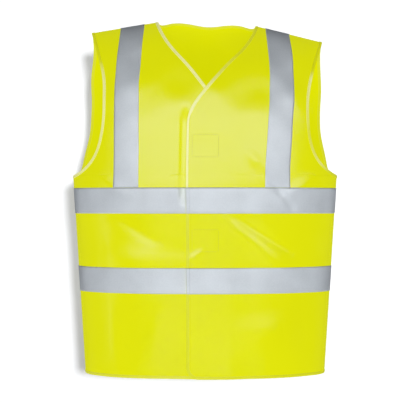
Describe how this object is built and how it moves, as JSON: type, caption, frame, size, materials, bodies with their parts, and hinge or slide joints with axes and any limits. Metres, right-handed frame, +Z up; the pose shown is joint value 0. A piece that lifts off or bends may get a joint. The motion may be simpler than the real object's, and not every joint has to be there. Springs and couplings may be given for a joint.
{
  "type": "high visibility vest",
  "caption": "Sleeveless high visibility vest with reflective bands and shoulder tapes, bound edges and overlapping fronts with hook-and-loop closures.",
  "frame": {"origin": "on the centreline at the height of the neck ends of the shoulder seams, where the wearer's shoulders carry the vest", "axes": "+Z up along the wearer, the front of the vest faces -Y, +X towards the wearer's left"},
  "size_m": [0.533, 0.2814, 0.7021],
  "materials": {
    "vest_fabric": "fluorescent yellow knitted polyester",
    "binding": "yellow satin binding tape",
    "reflective_tape": "silver grey retroreflective tape",
    "hook_and_loop": "yellow hook and loop tape",
    "seam_thread": "overlocked seam",
    "care_label": "blank woven label"
  },
  "bodies": {
    "vest_body": {"back_panel": "vest_fabric", "back_hem_binding": "binding", "upper_band_back": "reflective_tape", "lower_band_back": "reflective_tape", "left_front_yoke": "vest_fabric", "right_front_yoke": "vest_fabric", "left_armhole_binding": "binding", "right_armhole_binding": "binding", "yoke_tape_left": "reflective_tape", "yoke_tape_right": "reflective_tape", "back_tape_left": "reflective_tape", "back_tape_right": "reflective_tape", "left_shoulder_seam": "seam_thread", "right_shoulder_seam": "seam_thread", "left_side_seam": "seam_thread", "right_side_seam": "seam_thread", "neck_binding": "binding", "care_label": "care_label"},
    "left_front": {"left_front_panel": "vest_fabric", "left_edge_binding": "binding", "left_front_armhole_binding": "binding", "upper_band_left": "reflective_tape", "lower_band_left": "reflective_tape", "front_tape_left": "reflective_tape", "upper_hook_patch": "hook_and_loop", "lower_hook_patch": "hook_and_loop"},
    "right_front": {"right_front_panel": "vest_fabric", "right_edge_binding": "binding", "right_front_armhole_binding": "binding", "upper_band_right": "reflective_tape", "lower_band_right": "reflective_tape", "front_tape_right": "reflective_tape", "upper_loop_patch": "hook_and_loop", "lower_loop_patch": "hook_and_loop"}
  },
  "joints": [
    {"name": "left_front_swing", "type": "hinge", "parent": "vest_body", "child": "left_front", "pos_m": [0.254, 0, -0.505], "axis": [0.0632, 0, 0.998], "range_deg": [0, 60]},
    {"name": "right_front_swing", "type": "hinge", "parent": "vest_body", "child": "right_front", "pos_m": [-0.254, 0, -0.505], "axis": [0.0632, 0, -0.998], "range_deg": [0, 45]}
  ],
  "couplings": [
    {"joint": "right_front_swing", "follows": "left_front_swing", "ratio": 0.75}
  ]
}
